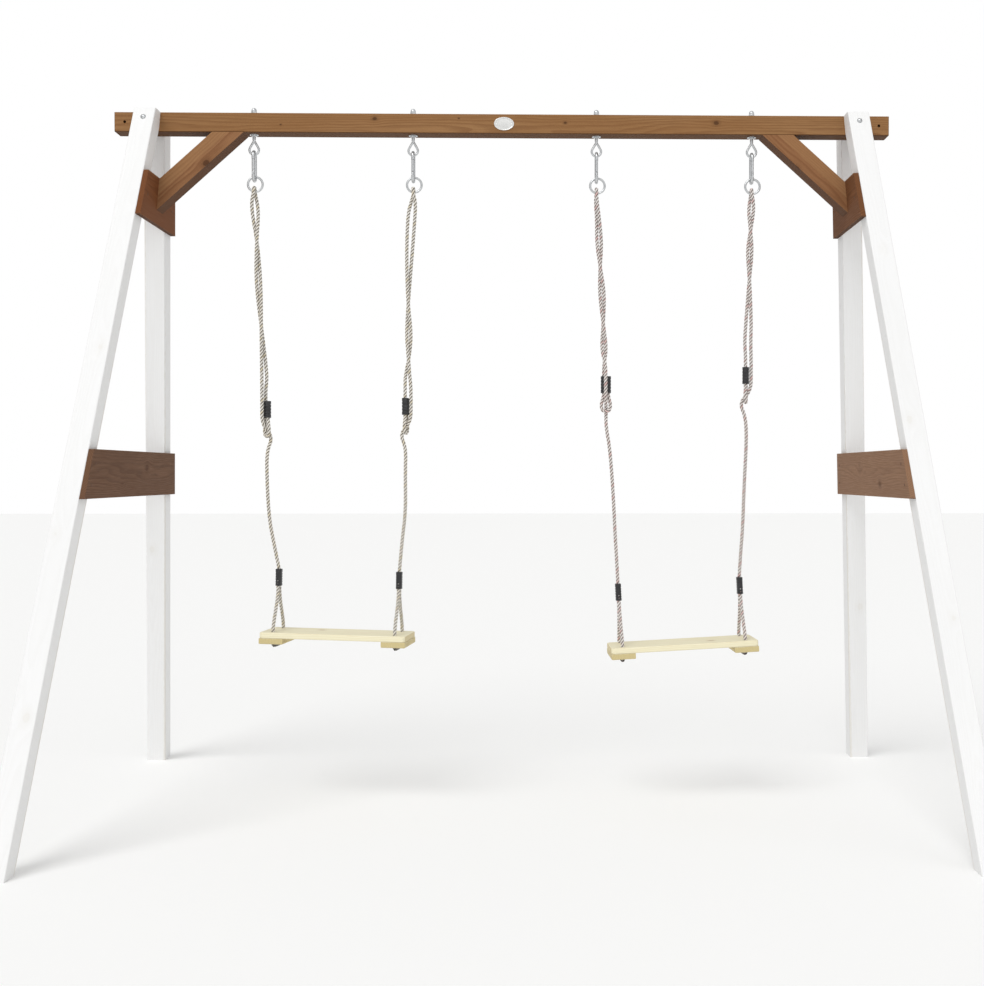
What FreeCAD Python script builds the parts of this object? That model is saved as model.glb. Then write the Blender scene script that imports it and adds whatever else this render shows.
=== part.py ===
"""Garden double swing: timber A-frames, a top beam and two rope-hung seats."""

import FreeCAD
import Part
import math
import os

V = FreeCAD.Vector

# ---- driving dimensions, mm and degrees; +X along the beam, -Y the front, +Z up ----
height = 2160.0            # ground to the top of the beam
beam_length = 2400.0
beam_size = 60.0           # square section
leg_size = 65.0            # square section
leg_lean = 17.0            # fore and aft, from upright
leg_splay = 5.2            # outward along the beam, from upright
leg_inset = 1059.0         # inner leg face at the beam's top, from the middle
plate_height = 140.0
plate_thick = 15.0
cross_plate_low = height - 1186.0   # lower edge of the cross plates
upper_plate_low = height - 343.0    # lower edge of the small upper plates
brace_size = 65.0          # square section
brace_angle = 42.0         # from level
brace_drop = 146.0         # beam's underside to the brace's upper edge on the plate

end_hole = 9.0             # drilled holes near the beam's ends
end_hole_inset = 31.0
badge_length = 62.0
badge_height = 41.0

hanger_x = (-778.0, -284.0, 288.0, 775.0)
eye_wire = 7.0
eye_width = 36.0
eye_drop = 66.0            # beam's underside to the bottom of the eye
eye_shank = 10.0
hook_length = 100.0
hook_width = 40.0
hook_wire = 10.0
ring_width = 45.0
ring_wire = 6.0

rope = 12.0
adjuster_wide = 32.0
adjuster_deep = 20.0
adjuster_tall = 52.0
clamp_size = 27.0
clamp_deep = 18.0
clamp_tall = 52.0
clamp_above_seat = 192.0   # seat's top to the clamp's top
clamp_flare = 36.0         # how far the rope can lean in the clamp's mouth

seat_length = 460.0
seat_depth = 150.0
seat_board = 18.0
cleat_length = 75.0
cleat_thick = 18.0
hole_from_end = 37.5       # rope holes from the seat's end
hole_spread = 100.0        # front hole to rear hole

# ---- clearances and fits ----
gap = 0.3                  # between pieces that move past each other
link_gap = 0.4             # between hanging links, which turn on each other
running = 0.1              # radial, pin in a swinging gate
bore_slack = 0.25          # radial, bolt in timber
rope_slack = 0.5           # radial, rope in the seat's holes

# ---- derived from the above ----
half_beam = beam_size / 2
under_beam = height - beam_size
lean = math.radians(leg_lean)
splay = math.radians(leg_splay)
rope_r = rope / 2
eye_r = (eye_width - eye_wire) / 2
eye_bar_z = under_beam - eye_drop + eye_wire / 2
hook_r = (hook_width - hook_wire) / 2
hook_top_z = eye_bar_z + (eye_wire + hook_wire) / 2 + link_gap
hook_low_z = hook_top_z - (hook_length - hook_wire)
ring_r = (ring_width - ring_wire) / 2
ring_top_z = hook_low_z + (hook_wire + ring_wire) / 2 + link_gap
ring_bar_z = ring_top_z - 2 * ring_r
over_bar = (ring_wire + rope) / 2 + gap
bore_pitch = rope / 2 + 0.6     # half the distance between an adjuster's bores
strand_out = adjuster_deep / 2 + rope_r + 0.6
gate_low_z = -22.0              # gate pivot, from the hook's middle
gate_top_z = 19.4
pin_r = 1.5
seat_under = seat_board + cleat_thick

# Seats as they hang: middle of the top face (along the beam from the middle of its hangers,
# below the beam), turn about upright, tilt along the seat.
seats = {
    "left_swing": (10.0, 1550.0, -7.0, 1.0),
    "right_swing": (25.5, 1583.0, 2.5, -2.8),
}

# Each rope from its ring down. Distances along the beam are from its hanger, heights are below the beam.
# turns: drop, middle of the two strands, direction of the running strand, how far it is from touching.
# adjuster: drop of its lower end, its place, direction of the running strand beside it.
# fall: along, fore and aft, drop of the single strand between the small eye and the clamp.
ropes = {
    "left_swing_left": {
        "start": -90.0,
        "turns": [(245, 3, -180, 3.4), (340, 8, -270, 3.2), (465, 12, -360, 3.6),
                  (620, 22, -450, 3.2), (748, 30, -520, 3.4)],
        "adjuster": (881.0, 37.0, 220.0),
        "fall": [(36, 1, 1060), (40, 11, 1190), (55, 18, 1280)],
    },
    "left_swing_right": {
        "start": -90.0,
        "turns": [(248, -6, 0, 7.0), (380, -13, 20, 5.0), (520, -17, 90, 3.2),
                  (620, -14, 180, 3.6), (695, -15, 270, 3.2), (750, -19, 330, 3.6)],
        "adjuster": (871.0, -24.0, -15.0),
        "fall": [(-26, -3, 1050), (-24, -11, 1175), (-36, -18, 1275)],
    },
    "right_swing_left": {
        "start": 90.0,
        "turns": [(255, 5, 120, 3.4), (333, 9, 180, 3.6), (410, 12, 270, 3.2),
                  (493, 18, 360, 3.6), (590, 22, 450, 3.2), (665, 24, 540, 3.6)],
        "adjuster": (802.0, 30.0, -95.0),
        "fall": [(43, -1, 980), (53, -4, 1120), (59, -6, 1250), (64, -7, 1330)],
    },
    "right_swing_right": {
        "start": -90.0,
        "turns": [(242, -1, 0, 3.4), (300, -3, 90, 3.2), (360, -5, 180, 3.6),
                  (454, -6, 270, 3.2), (575, -8, 360, 3.4), (640, -11, 345, 4.0)],
        "adjuster": (773.0, -17.0, -15.0),
        "fall": [(-14, 1, 950), (-21, 3, 1090), (-25, 6, 1230), (-32, 7, 1315)],
    },
}

nodes = {}


def keep(name, shape):
    """Files a finished piece under its name."""
    nodes[name] = shape


def box(x0, x1, y0, y1, z0, z1):
    return Part.makeBox(x1 - x0, y1 - y0, z1 - z0, V(x0, y0, z0))


def rod(radius, start, end):
    return Part.makeCylinder(radius, (end - start).Length, start, end - start)


def prism(corners, direction):
    """A closed outline pushed along a direction."""
    return Part.Face(Part.makePolygon(corners + corners[:1])).extrude(direction)


def rounded(shape, radius, chosen):
    """Rounds the edges that the test picks."""
    edges = [e for e in shape.Edges if chosen(e)]
    return shape.makeFillet(radius, edges) if edges else shape


def upright(edge):
    d = edge.Vertexes[0].Point - edge.Vertexes[-1].Point
    return abs(d.x) < 0.01 and abs(d.y) < 0.01


def tube(points, radius, name=""):
    """A round cord: straight runs joined by tangent arcs."""
    edges = []
    radii = []
    at = points[0]
    length = 0.0
    for a, b, c in zip(points, points[1:], points[2:]):
        u = (b - a).normalize()
        w = (c - b).normalize()
        half = u.getAngle(w) / 2
        trim = 0.45 * min((b - a).Length, (c - b).Length)
        r = trim / math.tan(half)
        inward = (w - u).normalize()
        start = b - u * trim
        end = b + w * trim
        middle = b + inward * (r / math.cos(half) - r)
        edges.append(Part.LineSegment(at, start).toShape())
        edges.append(Part.Arc(start, middle, end).toShape())
        length += (start - at).Length + 2 * half * r
        radii.append(r)
        at = end
    edges.append(Part.LineSegment(at, points[-1]).toShape())
    length += (points[-1] - at).Length
    ring = Part.Wire([Part.Circle(points[0], points[1] - points[0], radius).toShape()])
    solid = Part.Wire(edges).makePipeShell([ring], True, False)
    share = solid.Volume / (math.pi * radius * radius * length)
    print(f"{name}: {length:.0f} mm, bends {min(radii):.1f} to {max(radii):.0f} mm, volume {share:.4f}")
    return solid


# ---------------------------------------------------------------- timber frame


def leg_bar(side, front):
    """A leg's long bar before its ends are cut; its inner face runs through the beam's lower edge."""
    bar = box(0, leg_size, -leg_size, 0, -3200, 700)
    bar.rotate(V(0, 0, 0), V(1, 0, 0), -leg_lean)
    bar.translate(V(0, -half_beam, under_beam / math.cos(splay)))
    bar.rotate(V(0, 0, 0), V(0, 1, 0), -leg_splay)
    bar.translate(V(leg_inset + height * math.tan(splay), 0, 0))
    return place(bar, side, front)


def place(shape, side, front=-1):
    """Takes a piece of the right front quarter to its own side and end."""
    if side < 0:
        shape = shape.mirror(V(0, 0, 0), V(1, 0, 0))
    if front > 0:
        shape = shape.mirror(V(0, 0, 0), V(0, 1, 0))
    return shape


def face_x(z):
    """The inner leg face at a height."""
    return leg_inset + (height - z) * math.tan(splay)


def reach_y(z):
    """The legs' outer edge, fore or aft, at a height."""
    return half_beam + leg_size / math.cos(lean) + (under_beam - z) * math.tan(lean) / math.cos(splay)


def bolt_line(z):
    """The middle of a leg, fore or aft, at a height."""
    return reach_y(z) - leg_size / math.cos(lean) / 2


head_r = 7.5
washer_r = 11.0
head_seat = reach_y(under_beam + half_beam) - (head_r + 0.7) * math.tan(lean)
nut_seat = reach_y(under_beam + half_beam) - (washer_r + 0.7) * math.tan(lean)
leg_bolt_x = leg_inset + (height - (under_beam + half_beam)) * math.tan(splay) + leg_size / 2
leg_bolt_z = under_beam + half_beam


def build_beam():
    beam = box(-beam_length / 2, beam_length / 2, -half_beam, half_beam, under_beam, height)
    beam = beam.makeChamfer(2.0, [e for e in beam.Edges if e.Length > beam_length - 1])
    for side in (-1, 1):
        x = side * (beam_length / 2 - end_hole_inset)
        beam = beam.cut(rod(end_hole / 2, V(x, -half_beam - 1, leg_bolt_z), V(x, half_beam + 1, leg_bolt_z)))
        x = side * leg_bolt_x
        hole = eye_shank / 2 + bore_slack
        beam = beam.cut(rod(hole, V(x, -half_beam - 1, leg_bolt_z), V(x, half_beam + 1, leg_bolt_z)))
    for x in hanger_x:
        beam = beam.cut(rod(eye_shank / 2 + bore_slack, V(x, 0, under_beam - 1), V(x, 0, height + 1)))
    keep("top_beam", beam)


def build_legs():
    for side, side_name in ((-1, "left"), (1, "right")):
        for front, front_name in ((-1, "front"), (1, "rear")):
            leg = leg_bar(side, front)
            leg = rounded(leg, 3.0, lambda e: e.Length > 3000)
            reach = box(-2000, 2000, -2000, -half_beam, 0, height)
            leg = leg.common(place(reach, 1, front))
            x = side * leg_bolt_x
            bore = rod(eye_shank / 2 + bore_slack, V(x, -200, leg_bolt_z), V(x, 200, leg_bolt_z))
            leg = leg.cut(bore)
            r = head_r if front < 0 else washer_r
            seat = head_seat if front < 0 else nut_seat
            leg = leg.cut(rod(r + 0.7, V(x, front * seat, leg_bolt_z), V(x, front * (seat + 30), leg_bolt_z)))
            for z in plate_bolt_heights():
                leg = leg.cut(plate_bolt_bore(side, front, z))
            keep(f"{front_name}_{side_name}_leg", leg)


def plate(side, low):
    """A board across the legs' inner faces, its ends following the legs."""
    high = low + plate_height
    corners = [V(face_x(low), -reach_y(low), low), V(face_x(low), reach_y(low), low),
               V(face_x(high), reach_y(high), high), V(face_x(high), -reach_y(high), high)]
    return place(prism(corners, V(-plate_thick / math.cos(splay), 0, 0)), side)


def plate_bolt_heights():
    return (cross_plate_low + 40, cross_plate_low + plate_height - 40,
            upper_plate_low + plate_height / 2)


plate_bolt_r = 4.0


def plate_bolt_axis(side, front, z):
    """A point on the inner leg face and the outward direction."""
    point = V(side * face_x(z), front * bolt_line(z), z)
    return point, V(side * math.cos(splay), 0, math.sin(splay))


def plate_bolt_bore(side, front, z):
    point, out = plate_bolt_axis(side, front, z)
    return rod(plate_bolt_r + bore_slack, point - out * (plate_thick - 4), point + out * (leg_size + 20))


def build_plates():
    for side, name in ((-1, "left"), (1, "right")):
        cross = plate(side, cross_plate_low)
        upper = plate(side, upper_plate_low)
        for front in (-1, 1):
            for z in plate_bolt_heights():
                bore = plate_bolt_bore(side, front, z)
                cross = cross.cut(bore)
                upper = upper.cut(bore)
        for start, end in brace_screw_lines(side):
            upper = upper.cut(rod(brace_screw_r, start, end))
            upper = upper.cut(screw_head(start, end, 0.0))
        keep(f"{name}_cross_plate", cross)
        keep(f"{name}_upper_plate", upper)


def brace_foot():
    """Where the brace's upper edge meets the plate's inner face."""
    z = under_beam - brace_drop
    return V(face_x(z) - plate_thick / math.cos(splay), 0, z)


def build_braces():
    angle = math.radians(brace_angle)
    foot = brace_foot()
    up = V(-math.cos(angle), 0, math.sin(angle))
    down = V(-math.sin(angle), 0, -math.cos(angle))
    half = brace_size / 2
    start = foot - up * 200 + V(0, -half, 0)
    end = foot + up * 500 + V(0, -half, 0)
    bar = prism([start, end, end + down * brace_size, start + down * brace_size], V(0, brace_size, 0))
    # Cut along the beam's underside and along the plate's inner face.
    lean_x = math.tan(splay)
    room = prism([V(foot.x - lean_x * (under_beam - foot.z), -60, under_beam),
                  V(foot.x + lean_x * 400, -60, foot.z - 400),
                  V(foot.x - 500, -60, foot.z - 400),
                  V(foot.x - 500, -60, under_beam)], V(0, 120, 0))
    bar = bar.common(room)
    for side, name in ((-1, "left"), (1, "right")):
        brace = place(bar, side)
        for start, end in brace_screw_lines(side):
            brace = brace.cut(rod(brace_screw_r, start, end))
        keep(f"{name}_brace", brace)


brace_screw_r = 2.5
brace_screw_length = 45.0


def brace_screw_lines(side):
    """Screws through the upper plate into the brace's cut end, from the plate's outer face."""
    lines = []
    for drop in (24.0, 46.0):
        z = under_beam - brace_drop - drop
        start = V(side * face_x(z), 0, z)
        into = V(-side * math.cos(splay), 0, -math.sin(splay))
        lines.append((start, start + into * brace_screw_length))
    return lines


def screw_head(start, end, shrink):
    """A countersunk head at the start of a screw line."""
    d = (end - start).normalize()
    return Part.makeCone(brace_screw_r * 2 - shrink, brace_screw_r, 2.8, start, d)


def build_fixings():
    bolts = []
    ends = []
    for side in (-1, 1):
        x = side * leg_bolt_x
        lo = -head_seat
        hi = nut_seat
        head = dome(x, lo, leg_bolt_z, head_r, 5.0)
        bolts.append(rod(eye_shank / 2, V(x, lo - 0.5, leg_bolt_z), V(x, hi + 12, leg_bolt_z)).fuse(head))
        washer = rod(washer_r, V(x, hi, leg_bolt_z), V(x, hi + 2, leg_bolt_z))
        nut = hexagon(17.0, 8.0, V(x, hi + 2, leg_bolt_z), V(0, 1, 0))
        ends.append(washer.fuse(nut).cut(rod(eye_shank / 2, V(x, lo, leg_bolt_z), V(x, hi + 20, leg_bolt_z))))
    keep("leg_bolts", Part.makeCompound(bolts))
    keep("leg_nuts", Part.makeCompound(ends))
    bolts = []
    for side in (-1, 1):
        for front in (-1, 1):
            for z in plate_bolt_heights():
                point, out = plate_bolt_axis(side, front, z)
                shank = rod(plate_bolt_r, point - out * (plate_thick - 4.5), point + out * (leg_size + 0.5))
                top = point + out * leg_size
                cap = Part.makeSphere(11.5, top - out * 6.6)
                cap = cap.common(Part.makeCylinder(12, 6, top, out))
                bolts.append(shank.fuse(cap).removeSplitter())
    keep("plate_bolts", Part.makeCompound(bolts))
    screws = []
    for side in (-1, 1):
        for start, end in brace_screw_lines(side):
            screws.append(rod(brace_screw_r, start, end).fuse(screw_head(start, end, 0.0)))
    keep("brace_screws", Part.makeCompound(screws))


def dome(x, y, z, radius, rise):
    """A shallow domed head on a face that looks to the front."""
    r = (radius * radius + rise * rise) / (2 * rise)
    ball = Part.makeSphere(r, V(x, y - rise + r, z))
    return ball.common(rod(radius + 1, V(x, y - rise - 1, z), V(x, y, z)))


def hexagon(flats, tall, start, direction):
    r = flats / math.sqrt(3)
    side = V(1, 0, 0) if abs(direction.x) < 0.5 else V(0, 1, 0)
    other = direction.cross(side)
    corners = [start + side * (r * math.cos(math.radians(60 * i))) +
               other * (r * math.sin(math.radians(60 * i))) for i in range(6)]
    return prism(corners, direction * tall)


def build_badge():
    """A blank oval plate on the beam's front, with a raised rim."""
    def oval(length, tall, y0, y1):
        e = Part.Ellipse(V(0, y0, leg_bolt_z), length / 2, tall / 2).toShape()
        e.rotate(V(0, y0, leg_bolt_z), V(1, 0, 0), 90)
        return Part.Face(Part.Wire([e])).extrude(V(0, y1 - y0, 0))
    face = -half_beam
    plate_part = oval(badge_length, badge_height, face, face - 2.5)
    well = oval(badge_length - 7, badge_height - 7, face - 1.7, face - 4)
    keep("badge_plate", plate_part.cut(well))


# ---------------------------------------------------------------- hangers


def build_eye_bolts():
    names = ("left_swing_left", "left_swing_right", "right_swing_left", "right_swing_right")
    nuts = []
    washers = []
    for name, x in zip(names, hanger_x):
        centre = V(x, 0, eye_bar_z + eye_r)
        apex = centre + V(0, 0, 2 * eye_r)
        tangent = math.radians(30)
        left = centre + V(-eye_r * math.cos(tangent), 0, eye_r * math.sin(tangent))
        right = centre + V(eye_r * math.cos(tangent), 0, eye_r * math.sin(tangent))
        path = Part.Wire([Part.LineSegment(apex, left).toShape(),
                          Part.Arc(left, centre - V(0, 0, eye_r), right).toShape()])
        ring = Part.Wire([Part.Circle(apex, left - apex, eye_wire / 2).toShape()])
        loop = path.makePipeShell([ring], True, False)
        loop = loop.fuse(rod(eye_wire / 2, right, apex))
        loop = loop.fuse(Part.makeSphere(eye_wire / 2, apex))
        top = height + 2.5 + 14.0
        loop = loop.fuse(rod(eye_shank / 2, apex, V(x, 0, top)))
        collar = rod(9.0, V(x, 0, under_beam - 5.5), V(x, 0, under_beam - 2.5))
        keep(f"{name}_eye_bolt", loop.fuse(collar))
        for z in (height, under_beam - 2.5):
            washer = rod(14.0, V(x, 0, z), V(x, 0, z + 2.5))
            washers.append(washer.cut(rod(eye_shank / 2 + bore_slack, V(x, 0, z - 1), V(x, 0, z + 4))))
        z = height + 2.5
        nut = hexagon(17.0, 8.5, V(x, 0, z), V(0, 0, 1))
        nut = nut.fuse(rod(8.0, V(x, 0, z + 8), V(x, 0, z + 12)))
        nut = nut.fuse(Part.makeSphere(8.0, V(x, 0, z + 12)))
        nuts.append(nut.cut(rod(eye_shank / 2, V(x, 0, z - 1), V(x, 0, top))))
    keep("eye_bolt_dome_nuts", Part.makeCompound(nuts))
    keep("eye_bolt_washers", Part.makeCompound(washers))


def hook_parts(x):
    """Snap hook, its gate and its pin. The spine is at the rear and the gate at the front."""
    mid = (hook_top_z + hook_low_z) / 2
    bend = (hook_top_z - hook_low_z) / 2 - hook_r
    r = hook_wire / 2
    nose = V(x, -hook_r, mid + gate_top_z + 0.6)
    tail = V(x, -hook_r, mid + gate_low_z - 6)
    hi = mid + bend
    lo = mid - bend
    edges = [Part.LineSegment(nose, V(x, -hook_r, hi)),
             Part.Arc(V(x, -hook_r, hi), V(x, 0, hi + hook_r), V(x, hook_r, hi)),
             Part.LineSegment(V(x, hook_r, hi), V(x, hook_r, lo)),
             Part.Arc(V(x, hook_r, lo), V(x, 0, lo - hook_r), V(x, -hook_r, lo)),
             Part.LineSegment(V(x, -hook_r, lo), tail)]
    ring = Part.Wire([Part.Circle(nose, V(0, 0, 1), r).toShape()])
    body = Part.Wire([e.toShape() for e in edges]).makePipeShell([ring], True, False)
    pivot = V(x, -hook_r, mid + gate_low_z)
    tongue = box(x - 2, x + 2, -hook_r - 4, -hook_r + 4, tail.z - 2, pivot.z)
    tongue = tongue.fuse(rod(4, pivot - V(2, 0, 0), pivot + V(2, 0, 0)))
    pin_bore = rod(pin_r, pivot - V(6, 0, 0), pivot + V(6, 0, 0))
    body = body.fuse(tongue).cut(pin_bore)
    bar = rod(4.5, V(x, -hook_r, pivot.z + 7), V(x, -hook_r, mid + gate_top_z))
    cheeks = None
    for side in (-1, 1):
        near = x + side * (2 + gap)
        far = x + side * 4.5
        a = min(near, far)
        b = max(near, far)
        cheek = box(a, b, -hook_r - 4.5, -hook_r + 4.5, pivot.z, pivot.z + 8)
        cheek = cheek.common(rod(4.5, V(x, -hook_r, pivot.z - 1), V(x, -hook_r, pivot.z + 9)))
        eye = rod(4.0, V(a, -hook_r, pivot.z), V(b, -hook_r, pivot.z))
        eye = eye.common(rod(4.5, V(x, -hook_r, pivot.z - 6), V(x, -hook_r, pivot.z + 6)))
        cheek = cheek.fuse(eye)
        cheeks = cheek if cheeks is None else cheeks.fuse(cheek)
    gate = bar.fuse(cheeks)
    gate = gate.cut(rod(pin_r + running, pivot - V(6, 0, 0), pivot + V(6, 0, 0)))
    pin = rod(pin_r, pivot - V(4.2, 0, 0), pivot + V(4.2, 0, 0))
    return body, gate.removeSplitter(), pin


def build_hooks():
    names = ("left_swing_left", "left_swing_right", "right_swing_left", "right_swing_right")
    pins = {"left_swing": [], "right_swing": []}
    for name, x in zip(names, hanger_x):
        body, gate, pin = hook_parts(x)
        keep(f"{name}_snap_hook", body)
        keep(f"{name}_hook_gate", gate)
        pins["_".join(name.split("_")[:2])].append(pin)
        centre = V(x, 0, ring_top_z - ring_r)
        keep(f"{name}_ring", Part.makeTorus(ring_r, ring_wire / 2, centre, V(0, 1, 0)))
    for swing, found in pins.items():
        keep(f"{swing}_gate_pins", Part.makeCompound(found))


# ---------------------------------------------------------------- ropes


def seat_frame(swing):
    """The place of a seat: its top's middle, turned and tilted as it hangs."""
    along, drop, turn, tilt = seats[swing]
    first = 0 if swing == "left_swing" else 2
    x = (hanger_x[first] + hanger_x[first + 1]) / 2 + along
    z = under_beam - drop
    spin = FreeCAD.Rotation(V(0, 0, 1), turn).multiply(FreeCAD.Rotation(V(0, 1, 0), tilt))
    return FreeCAD.Placement(V(x, 0, z), spin)


def hole_x(side):
    return side * (seat_length / 2 - hole_from_end)


def clamp_top(swing, side):
    return seat_frame(swing).multVec(V(hole_x(side), 0, clamp_above_seat))


def around(x, angle, out, z):
    a = math.radians(angle)
    return V(x + out * math.cos(a), out * math.sin(a), z)


def upper_route(name, x_ring):
    """The long rope: clamp, small eye, up to the ring, over its bar, down to the adjuster and its eye."""
    r = ropes[name]
    swing = "_".join(name.split("_")[:2])
    side = -1 if name.endswith("_left") else 1
    drop, along, way = r["adjuster"]
    a = V(math.cos(math.radians(way)), math.sin(math.radians(way)), 0)
    u = V(-a.y, a.x, 0)
    base = V(x_ring + along, 0, under_beam - drop)

    def by(out, along, up):
        return base + a * out + u * along + V(0, 0, up)

    start = r["start"]
    points = [clamp_top(swing, side)]
    points += [V(x_ring + dx, y, under_beam - z) for dx, y, z in reversed(r["fall"])]
    points += [by(0, 0, -103), by(-20, 0, -60), by(strand_out, 0, -21), by(strand_out + 0.3, 0, 36),
               by(strand_out, 0, 90)]
    points += [around(x_ring + dx, angle, rope_r + out, under_beam - z)
               for z, dx, angle, out in reversed(r["turns"])]
    points += [around(x_ring, start, over_bar + 0.2, ring_bar_z - 32),
               around(x_ring, start, over_bar + 0.5, ring_bar_z - 7),
               around(x_ring, start, over_bar, ring_bar_z + over_bar),
               around(x_ring, start + 180, over_bar, ring_bar_z + over_bar),
               around(x_ring, start + 180, over_bar + 0.5, ring_bar_z - 7),
               around(x_ring, start + 180, over_bar + 0.2, ring_bar_z - 32)]
    points += [around(x_ring + dx, angle + 180, rope_r + out, under_beam - z)
               for z, dx, angle, out in r["turns"]]
    s = bore_pitch
    points += [by(0, -s, 90), by(0.1, -s, 38), by(0, -s, -12), by(0, -15.5, -35), by(0, -11, -58),
               by(0, 11, -58), by(0, 15.5, -35), by(0, s, -12), by(0.1, s, 30)]
    return points


def build_upper_ropes():
    names = ("left_swing_left", "left_swing_right", "right_swing_left", "right_swing_right")
    for name, x in zip(names, hanger_x):
        points = upper_route(name, x)
        body = tube(points, rope_r, f"{name}_upper_rope")
        end = Part.makeSphere(rope_r, points[0])
        keep(f"{name}_upper_rope", body.fuse(end))
        drop, along, way = ropes[name]["adjuster"]
        keep(f"{name}_adjuster", adjuster(V(x + along, 0, under_beam - drop), way))


def adjuster(base, way):
    """A rounded block with two bores for the rope, ribbed across."""
    half = adjuster_wide / 2
    deep = adjuster_deep / 2
    block = box(-deep, deep, -half, half, 0, adjuster_tall)
    block = rounded(block, deep - 0.5, upright)
    for i in range(4):
        z = 10 + i * 10
        band = box(-deep - 1, deep + 1, -half - 1, half + 1, z, z + 3)
        core = rounded(box(-deep + 1, deep - 1, -half + 1, half - 1, z, z + 3), deep - 1.6, upright)
        block = block.cut(band.cut(core))
    for s in (-1, 1):
        block = block.cut(rod(rope_r + 0.35, V(0.05, s * bore_pitch, -1), V(0.05, s * bore_pitch, adjuster_tall + 1)))
    block.rotate(V(0, 0, 0), V(0, 0, 1), way)
    block.translate(base)
    return block


def lower_route(side):
    """The short rope in the seat's own frame: clamp, front hole, under the cleat, rear hole, clamp."""
    x = hole_x(side)
    half = hole_spread / 2
    under = -seat_under - rope_r
    mouth = clamp_above_seat - clamp_tall
    s = rope_r + 0.5
    front = [(-s, mouth + 22), (-s - 0.1, mouth - 16), (-15, 92), (-33, 54), (-half + 0.6, 18),
             (-half - 0.2, -13), (-half, under - 0.8), (-22, under - 2.2)]
    rear = [(-y, z) for y, z in reversed(front)]
    return [V(x, y, z) for y, z in front + rear]


def clamp_block(side):
    """A clamp: ribbed black block, a cup for the rope above and two bores for the strands below."""
    x = hole_x(side)
    top = clamp_above_seat
    low = top - clamp_tall
    half = clamp_size / 2
    deep = clamp_deep / 2
    block = box(x - deep, x + deep, -half, half, low, top)
    block = rounded(block, deep - 1.0, upright)
    for i in range(5):
        z = low + 7 + i * 8
        band = box(x - deep - 1, x + deep + 1, -half - 1, half + 1, z, z + 2.5)
        core = rounded(box(x - deep + 1, x + deep - 1, -half + 1, half - 1, z, z + 2.5), deep - 2.1, upright)
        block = block.cut(band.cut(core))
    # The cup's rim is flared, so the rope above can lean as the seat tips.
    cup = rope_r + gap
    flare = math.radians(clamp_flare)
    low_r = cup * math.cos(flare)
    depth = cup * math.sin(flare)
    high_r = cup / math.cos(flare) + math.tan(flare)
    block = block.cut(Part.makeSphere(cup, V(x, 0, top)))
    block = block.cut(Part.makeCone(low_r, high_r, depth + 1, V(x, 0, top - depth)))
    for y in (-rope_r - 0.5, rope_r + 0.5):
        block = block.cut(rod(rope_r + 0.2, V(x, y, low - 1), V(x, y, low + 22.5)))
    return block


def build_seats():
    for swing in seats:
        frame = seat_frame(swing)
        half = seat_length / 2
        deep = seat_depth / 2
        board = box(-half, half, -deep, deep, -seat_board, 0)
        board = rounded(board, 12.0, upright)
        board = board.makeFillet(3.0, [e for e in board.Edges if abs(e.CenterOfMass.z) < 0.01
                                       or abs(e.CenterOfMass.z + seat_board) < 0.01])
        cleats = []
        screws = []
        for side, side_name in ((-1, "left"), (1, "right")):
            x = hole_x(side)
            cleat = box(x - cleat_length / 2, x + cleat_length / 2, -deep + 1, deep - 1,
                        -seat_under, -seat_board)
            cleat = cleat.makeChamfer(2.0, [e for e in cleat.Edges
                                            if abs(e.CenterOfMass.z + seat_under) < 0.01])
            for y in (-hole_spread / 2, hole_spread / 2):
                hole = rod(rope_r + rope_slack, V(x, y, -seat_under - 1), V(x, y, 1))
                board = board.cut(hole)
                cleat = cleat.cut(hole)
                wide = rope_r + rope_slack
                cleat = cleat.cut(Part.makeCone(wide, wide + 5.5, 5.5, V(x, y, -seat_under + 5.0), V(0, 0, -1)))
            for dx in (-26, 26):
                for y in (-38, 38):
                    start = V(x + dx, y, -seat_under)
                    end = V(x + dx, y, -seat_under + 29)
                    screw = rod(2.0, start, end)
                    head = Part.makeCone(4.0, 2.0, 2.4, start, V(0, 0, 1))
                    screws.append(screw.fuse(head))
                    board = board.cut(screw)
                    cleat = cleat.cut(screw).cut(head)
            cleats.append(cleat)
            name = f"{swing}_{side_name}"
            lower = tube(lower_route(side), rope_r, f"{name}_seat_rope")
            keep(f"{name}_seat_rope", moved(lower, frame))
            keep(f"{name}_clamp", moved(clamp_block(side), frame))
        keep(f"{swing}_seat_board", moved(board, frame))
        keep(f"{swing}_seat_cleats", moved(Part.makeCompound(cleats), frame))
        keep(f"{swing}_cleat_screws", moved(Part.makeCompound(screws), frame))


def moved(shape, frame):
    out = shape.copy()
    out.Placement = frame.multiply(out.Placement)
    return out


build_beam()
build_legs()
build_plates()
build_braces()
build_fixings()
build_badge()
build_eye_bolts()
build_hooks()
build_upper_ropes()
build_seats()

os.makedirs("parts", exist_ok=True)
for name, shape in nodes.items():
    shape.exportStep(f"parts/{name}.step")
    print(name, len(shape.Solids), round(shape.Volume), shape.isValid())
for name, x in zip(ropes, hanger_x):
    swing = "_".join(name.split("_")[:2])
    top = clamp_top(swing, -1 if name.endswith("_left") else 1)
    print(name, "eye bar", x, eye_bar_z, "ring top", ring_top_z, "clamp top",
          round(top.x, 2), round(top.y, 2), round(top.z, 2))
box_all = FreeCAD.BoundBox()
for shape in nodes.values():
    box_all.add(shape.BoundBox)
print("overall", box_all)
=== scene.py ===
"""Garden double swing: stained beam on white legs, two pine seats hung on twisted ropes."""

import math

import bpy
from mathutils import Matrix, Quaternion, Vector


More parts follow.
